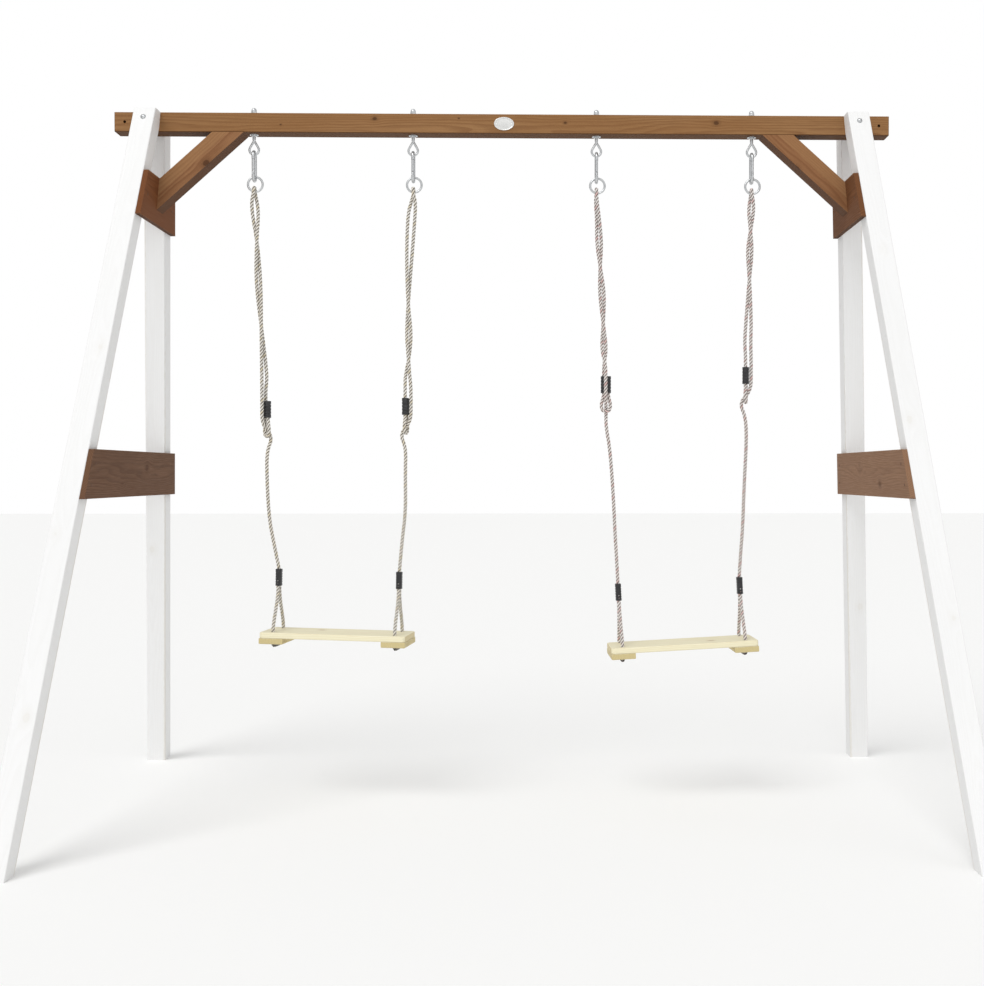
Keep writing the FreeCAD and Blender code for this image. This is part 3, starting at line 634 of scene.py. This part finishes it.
bpy.ops.mesh.primitive_torus_add(major_segments=56, minor_segments=16, major_radius=ring_r,
                                 minor_radius=ring_wire, location=(0, 0, ring_z),
                                 rotation=(math.radians(90), 0, 0))
hoop = begin("hoop")
for reach, swell in ((0.0034, 1.07), (0.0018, 1.09)):
    bpy.ops.object.mode_set(mode="OBJECT")
    for vertex in hoop.data.vertices:
        vertex.select = vertex.co.x < 0 and abs(vertex.co.z - ring_z) < reach
    bpy.ops.object.mode_set(mode="EDIT")
    bpy.ops.transform.resize(value=(swell, swell, swell), center_override=(-ring_r + 0.0002, 0, ring_z))
close(hoop, 60)
for name, x in hanger_x.items():
    swing = name.rsplit("_", 1)[0]
    parts = [placed(bar, (x, 0, 0)), placed(lug, (x, 0, 0)), placed(pivot, (x, -hook_r, pin_z), sideways)]
    piece = gather(f"{name}_hook", parts, galvanised, f"{swing}_hooks")
    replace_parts(piece, f"{name}_snap_hook")
    piece = gather(f"{name}_hoop", [placed(hoop, (x, 0, 0))], galvanised, f"{swing}_ropes")
    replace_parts(piece, f"{name}_ring")
discard(coach_head, shank, big_washer, plain_nut, cap, eye, stem, flat_washer, nut_body, nut_dome)
discard(bar, lug, pivot, hoop)

# ---------------------------------------------------------------- oval plate
# A small cast oval plate, pinned to the beam's front by a rivet at each end.
# It is left blank, with a raised rim.

plate_silver = metal("badge silver", srgb(226, 226, 224), srgb(240, 240, 238), 0.08, 0.9)
badge_low, badge_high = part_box("badge_plate")
badge_half = (badge_high.x - badge_low.x) / 2
badge_squash = (badge_high.z - badge_low.z) / (badge_high.x - badge_low.x)
# The rim's steps are a height and a distance in from the edge.
rim = [(0.0, 0.0), (0.0017, 0.0), (0.0023, 0.0006), (0.0025, 0.0014), (0.0025, 0.0024), (0.0022, 0.0032),
       (0.0013, 0.0040), (0.0012, 0.0060)]
oval = turned("oval", [(z, badge_half - inward) for z, inward in rim]
              + [(0.0014, badge_half * 0.6), (0.0017, badge_half * 0.3), (0.0018, 0.001)], 72)
oval.data.transform(Matrix.Diagonal((1, badge_squash, 1, 1)))
rivet = turned("rivet", [(0.0010, 0.0017)] + [(z + 0.0012, r) for z, r in domed(0.0016, 0.0010, 4)], 16)
rivet_x = badge_half - 0.0075
badge_spot = Vector((0, badge_high.y, (badge_low.z + badge_high.z) / 2))
parts = [placed(oval, badge_spot, forward)]
parts += [placed(rivet, badge_spot + Vector((x, 0, 0)), forward) for x in (-rivet_x, rivet_x)]
badge = gather("badge", parts, plate_silver, "frame")
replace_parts(badge, "badge_plate")
discard(oval, rivet)

# ---------------------------------------------------------------- ropes
# Three-strand soft rope, 12 mm, each strand laid up of pale yarns with a few coloured tracers.
# The long ones hang doubled from the rings and lock in an adjuster; the short ones go under the seat.

rope_r = 0.006
ring_bar_z = 1.9258        # the middle of each ring's lower bar, which the rope goes over
over_bar = 0.0093          # from that bar's middle to the rope's
bore_pitch = 0.0066        # from the middle of an adjuster to each of its two bores
strand_out = 0.0166        # from the middle of an adjuster to the strand that runs beside it
lay_pitch = 0.033          # one whole turn of the rope's strands
short_length = 0.516

# Each seat's place: its top's middle, turn about upright and tilt along the seat.
seat_places = {
    "left_swing": ((-0.521, 0.0, 0.550), -7.0, 1.0),
    "right_swing": ((0.557, 0.0, 0.517), 2.5, -2.8),
}
hole_x = 0.1925
clamp_above_seat = 0.192
# Distances along the beam are from the rope's ring and heights are below the beam, as they hang.
# turns: drop, middle of the two strands, direction of the running strand, how far it is from touching.
# adjuster: drop of its lower end, its place, direction of the running strand beside it.
# fall: along, fore and aft, drop of the single strand between the small eye and the clamp.
ropes = {
    "left_swing_left": {
        "start": -90, "length": 2.110,
        "turns": [(.245, .003, -180, .0040), (.340, .008, -270, .0022), (.465, .012, -360, .0022),
                  (.620, .022, -450, .0022), (.748, .030, -520, .0024)],
        "adjuster": (.881, .037, 220),
        "fall": [(.036, .001, 1.060), (.040, .011, 1.190), (.055, .018, 1.280)],
    },
    "left_swing_right": {
        "start": -90, "length": 2.108,
        "turns": [(.248, -.006, 0, .0056), (.380, -.013, 20, .0026), (.520, -.017, 90, .0022),
                  (.620, -.014, 180, .0022), (.695, -.015, 270, .0022), (.750, -.019, 330, .0024)],
        "adjuster": (.871, -.024, -15),
        "fall": [(-.026, -.003, 1.050), (-.024, -.011, 1.175), (-.036, -.018, 1.275)],
    },
    "right_swing_left": {
        "start": 90, "length": 2.079,
        "turns": [(.255, .005, 120, .0012), (.333, .009, 180, .0020), (.410, .012, 270, .0022),
                  (.493, .018, 360, .0022), (.590, .022, 450, .0022), (.665, .024, 540, .0022)],
        "adjuster": (.802, .030, -95),
        "fall": [(.043, -.001, .980), (.053, -.004, 1.120), (.059, -.006, 1.250), (.064, -.007, 1.330)],
    },
    "right_swing_right": {
        "start": -90, "length": 2.029,
        "turns": [(.242, -.001, 0, .0012), (.300, -.003, 90, .0022), (.360, -.005, 180, .0022),
                  (.454, -.006, 270, .0022), (.575, -.008, 360, .0024), (.640, -.011, 345, .0036)],
        "adjuster": (.773, -.017, -15),
        "fall": [(-.014, .001, .950), (-.021, .003, 1.090), (-.025, .006, 1.230), (-.032, .007, 1.315)],
    },
}


def seat_frame(swing):
    """The turn and shift that put a seat, and all that is fixed to it, in its place."""
    middle, turn, tilt = seat_places[swing]
    leaning = Matrix.Rotation(math.radians(turn), 4, "Z") @ Matrix.Rotation(math.radians(tilt), 4, "Y")
    return Matrix.Translation(middle) @ leaning


def around(x, angle, out, z):
    """A point some way out from an upright line, in a direction."""
    a = math.radians(angle)
    return Vector((x + out * math.cos(a), out * math.sin(a), z))


def long_route(name):
    """Clamp, small eye, up to the ring, over its bar, down to the adjuster and round its eye."""
    rope = ropes[name]
    ring_x = hanger_x[name]
    swing, side = name.rsplit("_", 1)
    drop, along, way = rope["adjuster"]
    a = Vector((math.cos(math.radians(way)), math.sin(math.radians(way)), 0))
    u = Vector((-a.y, a.x, 0))
    base = Vector((ring_x + along, 0, under_beam - drop))

    def by(out, sideways, up):
        return base + a * out + u * sideways + Vector((0, 0, up))

    def strand(turned_by):
        """One strand of the doubled part, from the ring down."""
        return [around(ring_x + dx, angle + turned_by, rope_r + out, under_beam - z)
                for z, dx, angle, out in rope["turns"]]

    start = rope["start"]
    _, _, first_way, first_out = rope["turns"][0]
    turning = start + ((first_way - start + 180) % 360 - 180) / 2
    leaving = (over_bar + rope_r + first_out) / 2
    hole = hole_x if side == "right" else -hole_x
    over_ring = [around(ring_x, turning, leaving, ring_bar_z - .032),
                 around(ring_x, start, over_bar + .0005, ring_bar_z - .007),
                 around(ring_x, start, over_bar, ring_bar_z + over_bar),
                 around(ring_x, start + 180, over_bar, ring_bar_z + over_bar),
                 around(ring_x, start + 180, over_bar + .0005, ring_bar_z - .007),
                 around(ring_x, turning + 180, leaving, ring_bar_z - .032)]
    return [
        seat_frame(swing) @ Vector((hole, 0, clamp_above_seat)),
        *(Vector((ring_x + dx, y, under_beam - z)) for dx, y, z in reversed(rope["fall"])),
        by(0, 0, -.103), by(-.020, 0, -.060), by(strand_out, 0, -.021), by(strand_out + .0003, 0, .036),
        by(strand_out, 0, .090), *reversed(strand(0)), *over_ring, *strand(180),
        by(0, -bore_pitch, .090), by(.0001, -bore_pitch, .038), by(0, -bore_pitch, -.012),
        by(0, -.0155, -.035), by(0, -.011, -.058), by(0, .011, -.058), by(0, .0155, -.035),
        by(0, bore_pitch, -.012), by(.0001, bore_pitch, .030)]


def short_route(swing, side):
    """Clamp, down through the seat's front hole, under the cleat and up to the clamp again."""
    front = [(-.0065, .162), (-.0066, .124), (-.015, .092), (-.033, .054), (-.0494, .018), (-.0502, -.013),
             (-.050, -.0428), (-.022, -.0442)]
    points = front + [(-y, z) for y, z in reversed(front)]
    place = seat_frame(swing)
    return [place @ Vector((side * hole_x, y, z)) for y, z in points]


def follow(points):
    """Even points, a lay's twelfth apart, along the smooth line that the route's points give."""
    curve = bpy.data.curves.new("route", "CURVE")
    curve.dimensions = "3D"
    spline = curve.splines.new("NURBS")
    spline.points.add(len(points) - 1)
    for knot_point, point in zip(spline.points, points):
        knot_point.co = (*point, 1.0)
    spline.order_u = 3
    spline.use_endpoint_u = True
    spline.resolution_u = 24
    holder = bpy.data.objects.new("route", curve)
    bpy.context.scene.collection.objects.link(holder)
    bpy.context.view_layer.update()
    bare = bpy.data.meshes.new_from_object(holder)
    line = [v.co.copy() for v in bare.vertices]
    bpy.data.objects.remove(holder)
    bpy.data.meshes.remove(bare)
    step = lay_pitch / 12
    even = [line[0]]
    left = step
    for a, b in zip(line, line[1:]):
        run = (b - a).length
        at = left
        while at < run:
            even.append(a.lerp(b, at / run))
            at += step
        left = at - run
    even.append(line[-1])
    return even


def laid_rope(name, points):
    """Three round strands wound about the line, closed at their ends, with a yarn's place in the UV."""
    line = follow(points)
    strands = 3
    sides = 8
    strand_r = rope_r * 0.475
    offset = rope_r - strand_r
    verts, faces, uvs = [], [], []
    last = len(line) - 1
    tangents = [(line[min(i + 1, last)] - line[max(i - 1, 0)]).normalized() for i in range(last + 1)]
    side = tangents[0].orthogonal().normalized()
    frames, run = [], 0.0
    for i, (point, tangent) in enumerate(zip(line, tangents)):
        side = (side - tangent * side.dot(tangent)).normalized()
        run += (point - line[i - 1]).length if i else 0.0
        frames.append((point, side.copy(), tangent.cross(side), run))
    for strand in range(strands):
        centres = []
        for point, a, b, run in frames:
            turn = 2 * math.pi * (run / lay_pitch + strand / strands)
            centres.append(point + (a * math.cos(turn) + b * math.sin(turn)) * offset)
        first = len(verts)
        for i, (centre, (point, a, b, run)) in enumerate(zip(centres, frames)):
            along = (centres[min(i + 1, last)] - centres[max(i - 1, 0)]).normalized()
            out = centre - point
            out = (out - along * out.dot(along)).normalized()
            other = along.cross(out)
            for k in range(sides):
                angle = 2 * math.pi * k / sides
                verts.append(centre + (out * math.cos(angle) + other * math.sin(angle)) * strand_r)
        for i in range(last):
            for k in range(sides):
                n = (k + 1) % sides
                here, above = first + i * sides, first + (i + 1) * sides
                faces.append([here + k, here + n, above + n, above + k])
                u0, u1 = frames[i][3] / lay_pitch, frames[i + 1][3] / lay_pitch
                v0, v1 = (strand + k / sides) / strands, (strand + (k + 1) / sides) / strands
                uvs += [(u0, v0), (u0, v1), (u1, v1), (u1, v0)]
        faces.append([first + k for k in reversed(range(sides))])
        faces.append([first + last * sides + k for k in range(sides)])
        uvs += [(0.0, strand / strands)] * (2 * sides)
    mesh = bpy.data.meshes.new(name)
    mesh.from_pydata(verts, [], faces)
    layer = mesh.uv_layers.new(name="Lay")
    for loop, uv in zip(layer.data, uvs):
        loop.uv = uv
    mesh.polygons.foreach_set("use_smooth", [True] * len(mesh.polygons))
    piece = bpy.data.objects.new(name, mesh)
    bpy.context.scene.collection.objects.link(piece)
    return piece, line


def rope_material(name, pale, shade, tracer, faint, hollow_shade, bend=None):
    """Spun yarns wound along each strand, darkened between the yarns and in the hollows between strands as
    painted shade, with a tracer yarn or two.

    A short rope is also darkened about its bend under the cleat, a distance along it, as painted shade
    under the seat.
    """
    material, tree, shader = fresh_material(name)
    lay = put(tree, "SeparateXYZ", {0: put(tree, "TexCoord", {}).outputs["UV"]}).outputs
    # Yarns run back along the strand's own twist, seven round each strand.
    yarn = maths(tree, "MULTIPLY_ADD", lay[1], 21.0, maths(tree, "MULTIPLY", lay[0], -5.0))
    ridge = maths(tree, "ABSOLUTE", maths(tree, "SINE", maths(tree, "MULTIPLY", yarn, math.pi)))
    which = maths(tree, "MODULO", maths(tree, "FLOOR", yarn), 7.0)
    hue = put(tree, "TexWhiteNoise", {"W": which}, noise_dimensions="1D").outputs["Value"]
    where = object_place(tree)
    fuzz = noise(tree, where, (1500.0, 1500.0, 1500.0), 3.0, 0.7)[0]
    soil = noise(tree, where, (9.0, 9.0, 9.0), 3.0, 0.6)[0]
    round_strand = maths(tree, "COSINE", maths(tree, "MULTIPLY", lay[1], 6 * math.pi))
    strand = maths(tree, "FLOOR", maths(tree, "MULTIPLY", lay[1], 2.9999))
    traced = maths(tree, "MULTIPLY", maths(tree, "COMPARE", strand, 1.0, 0.1), band(tree, hue, 0.35, 0.5))
    colour = mixed(tree, band(tree, ridge, 0.05, 0.75), shade, pale)
    layers = [(traced, 0.75, tracer),
              (band(tree, soil, 0.35, 0.7), 0.45, faint),
              (band(tree, fuzz, 0.45, 0.75), 0.35, shade),
              # Painted shade: each strand is darkened where it turns in towards the others, in the hollows
              # between them.
              (band(tree, round_strand, 0.94, 0.3), 0.85, hollow_shade)]
    if bend is not None:
        # Painted shade under the seat: the short rope darkens to near black about the middle of its length,
        # where it bends under the cleat.
        from_bend = maths(tree, "ABSOLUTE", maths(tree, "MULTIPLY_ADD", lay[0], lay_pitch, -bend))
        under_seat_shade = maths(tree, "MULTIPLY_ADD", fuzz, 0.3, 0.68)
        layers.append((band(tree, from_bend, 0.085, 0.055), under_seat_shade, srgb(46, 43, 36)))
    for cover, strength, over in layers:
        colour = mixed(tree, maths(tree, "MULTIPLY", cover, strength), colour, over)
    height = maths(tree, "MULTIPLY_ADD", fuzz, 0.35, ridge)
    feed(tree, shader, {"Base Color": colour, "Roughness": 0.78, "Specular IOR Level": 0.25,
                        "Sheen Weight": 0.25, "Normal": relief(tree, height, 0.8, 0.0006)})
    return material


# Each look: its name, pale yarn, a darker shade painted between the yarns and in the fuzz, tracer, faint
# soil, and the painted shade of the hollows between strands.
rope_looks = {
    "left_swing": ("pale rope", srgb(252, 249, 242), srgb(196, 187, 174), srgb(226, 212, 176),
                   srgb(240, 229, 211), srgb(122, 115, 105)),
    "right_swing": ("pale rope with pink yarn", srgb(252, 248, 244), srgb(194, 184, 178),
                    srgb(222, 168, 164), srgb(238, 222, 214), srgb(122, 109, 104)),
}
long_looks = {swing: rope_material(*look) for swing, look in rope_looks.items()}
short_looks = {swing: rope_material("shaded_under_seat " + look[0], *look[1:], bend=short_length / 2)
               for swing, look in rope_looks.items()}
for name, rope in ropes.items():
    swing, side = name.rsplit("_", 1)
    route = long_route(name)
    piece, line = laid_rope(f"{name}_long_rope", route)
    piece.data.materials.append(long_looks[swing])
    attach(piece, f"{swing}_ropes")
    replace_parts(piece, f"{name}_upper_rope")
    route = short_route(swing, 1 if side == "right" else -1)
    piece, line = laid_rope(f"{name}_short_rope", route)
    piece.data.materials.append(short_looks[swing])
    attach(piece, f"{swing}_seat")
    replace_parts(piece, f"{name}_seat_rope")

# ---------------------------------------------------------------- adjusters and clamps
# Ribbed blocks moulded in black plastic. The adjuster slides on the doubled rope to set the seat's
# height, and the clamp joins the hanging rope to the two runs that go down to the seat.


def moulded(name, base, scuff):
    """Matt moulded plastic, a little greyed where it is handled."""
    material, tree, shader = fresh_material(name)
    where = object_place(tree)
    grit = noise(tree, where, (2200.0, 2200.0, 2200.0), 2.0, 0.6)[0]
    dust = band(tree, noise(tree, where, (110.0, 110.0, 60.0), 4.0, 0.6)[0], 0.48, 0.75)
    feed(tree, shader, {"Base Color": mixed(tree, maths(tree, "MULTIPLY", dust, 0.6), base, scuff),
                        "Roughness": maths(tree, "MULTIPLY_ADD", dust, 0.18, 0.42),
                        "Normal": relief(tree, grit, 0.25, 0.0002)})
    return material


black_plastic = moulded("black plastic", srgb(34, 34, 36), srgb(70, 70, 72))


def softened(node, name, body):
    """A block with the corners of its ribs and mouths rounded, as they come from a mould."""
    piece = nodes[node].copy()
    piece.data = nodes[node].data.copy()
    for key in list(piece.keys()):
        del piece[key]
    piece.parent = None
    piece.name = name
    bpy.context.scene.collection.objects.link(piece)
    bpy.ops.object.select_all(action="DESELECT")
    piece.select_set(True)
    bpy.context.view_layer.objects.active = piece
    bpy.ops.object.mode_set(mode="EDIT")
    bpy.ops.mesh.select_all(action="SELECT")
    bpy.ops.mesh.remove_doubles(threshold=2e-6)
    bpy.ops.mesh.dissolve_limited(angle_limit=math.radians(1))
    bpy.ops.object.mode_set(mode="OBJECT")
    rounding = piece.modifiers.new("rounding", "BEVEL")
    rounding.width = 0.0005
    rounding.segments = 2
    rounding.limit_method = "ANGLE"
    rounding.angle_limit = math.radians(40)
    bpy.ops.object.modifier_apply(modifier="rounding")
    bpy.ops.object.shade_smooth_by_angle(angle=math.radians(40))
    gather(name, [piece], black_plastic, body)
    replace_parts(piece, node)


for name in ropes:
    swing = name.rsplit("_", 1)[0]
    softened(f"{name}_adjuster", f"{name}_sliding_block", f"{name}_adjuster_block")
    softened(f"{name}_clamp", f"{name}_joining_clamp", f"{swing}_seat")

# ---------------------------------------------------------------- seats
# Each seat is one pale planed pine board with two short cleats screwed under its ends.
# It is left unstained and only oiled, and the ropes pass through drilled holes.

# The pine look's under share is painted shade: how far the boards' faces that point down are darkened.
pine = {
    "ring": 0.0042, "wear": 0.0022, "contrast": 0.42, "fibre": 0.22, "patchy": 0.35, "halo": 0.3,
    "eye": 0.5, "bare": 0.35, "rough": 0.48, "gloss": 0.35, "relief": 0.3, "under": 0.12,
    "early": srgb(237, 231, 202), "late": srgb(219, 205, 162), "streak": srgb(226, 215, 180),
    "patch": srgb(231, 222, 188), "knot": srgb(166, 130, 90), "worn": srgb(241, 236, 212),
    "end": srgb(206, 188, 138),
}
# The cleats are coloured darker than the seat board, partly as painted shade under the board and partly for
# the cleats' own darker oiled tone.
cleat_pine = dict(pine, early=srgb(208, 193, 144), late=srgb(178, 156, 102), streak=srgb(186, 168, 118),
                  patch=srgb(196, 180, 130))
board_thick = 0.018
seat_half = (0.23, 0.075, board_thick / 2)
cleat_half = (0.23, 0.074, board_thick / 2)
for number, swing in enumerate(seat_places):
    place = seat_frame(swing)
    grain, across, _ = place.to_3x3().transposed()
    spots = [((-0.06 + 0.15 * number, 0.03 - 0.05 * number, board_thick / 2), 0.007)]
    finish_node(f"{swing}_seat_board", timber(
        f"pale pine {swing}", place @ Vector((0, 0, -0.5 * board_thick)), seat_half, grain, across, pine,
        knots=spots, pith=(0, 0.02, -0.06), seed=20.0 + number))
    finish_node(f"{swing}_seat_cleats", timber(
        f"cleat pine {swing}", place @ Vector((0, 0, -1.5 * board_thick)), cleat_half, across, grain,
        cleat_pine, pith=(0, 0.03, -0.03), seed=24.0 + number))

# ---------------------------------------------------------------- floor, light and camera
# A plain pale floor, two soft lamps and an even pale surround.
# The camera stands in front of the beam's middle at about half its height, nearly level.

white = (1.0, 1.0, 1.0, 1.0)
pale_floor, tree, shader = fresh_material("pale floor")
feed(tree, shader, {"Base Color": srgb(250, 250, 249), "Roughness": 0.9})
bpy.ops.mesh.primitive_plane_add(size=60, location=(0, 0, 0))
floor = bpy.context.object
floor.name = "floor"
floor.data.materials.append(pale_floor)

world = bpy.data.worlds.new("studio")
bpy.context.scene.world = world
world.use_nodes = True
sky = world.node_tree
surround = sky.nodes["Background"]
feed(sky, surround, {"Color": white, "Strength": 0.62})
backdrop = put(sky, "Background", {"Color": white})
camera_ray = put(sky, "LightPath", {}).outputs["Is Camera Ray"]
choice = put(sky, "MixShader", {0: camera_ray, 1: surround.outputs[0], 2: backdrop.outputs[0]})
feed(sky, sky.nodes["World Output"], {"Surface": choice.outputs[0]})


def soft_sun(name, place, spread, power):
    """A broad even light that falls from a place towards the middle."""
    bpy.ops.object.light_add(type="SUN", location=place)
    lamp = bpy.context.object
    lamp.name = name
    lamp.data.angle = math.radians(spread)
    lamp.data.energy = power
    lamp.rotation_euler = (Vector((0, 0, 1.2)) - Vector(place)).to_track_quat("-Z", "Y").to_euler()


soft_sun("key light", (-2.4, -4.0, 6.5), 35, 1.35)
soft_sun("fill light", (3.6, -5.0, 4.5), 60, 0.35)

bpy.ops.object.camera_add(location=(0.111, -4.046, 1.044),
                          rotation=(math.radians(89.341), 0, math.radians(-1.166)))
camera = bpy.context.object
camera.data.sensor_width = 36
camera.data.lens = 47.0854
camera.data.shift_x = -0.0752
camera.data.shift_y = -0.0043
camera.data.clip_end = 100
bpy.context.scene.camera = camera
bpy.context.scene.view_settings.view_transform = "Standard"
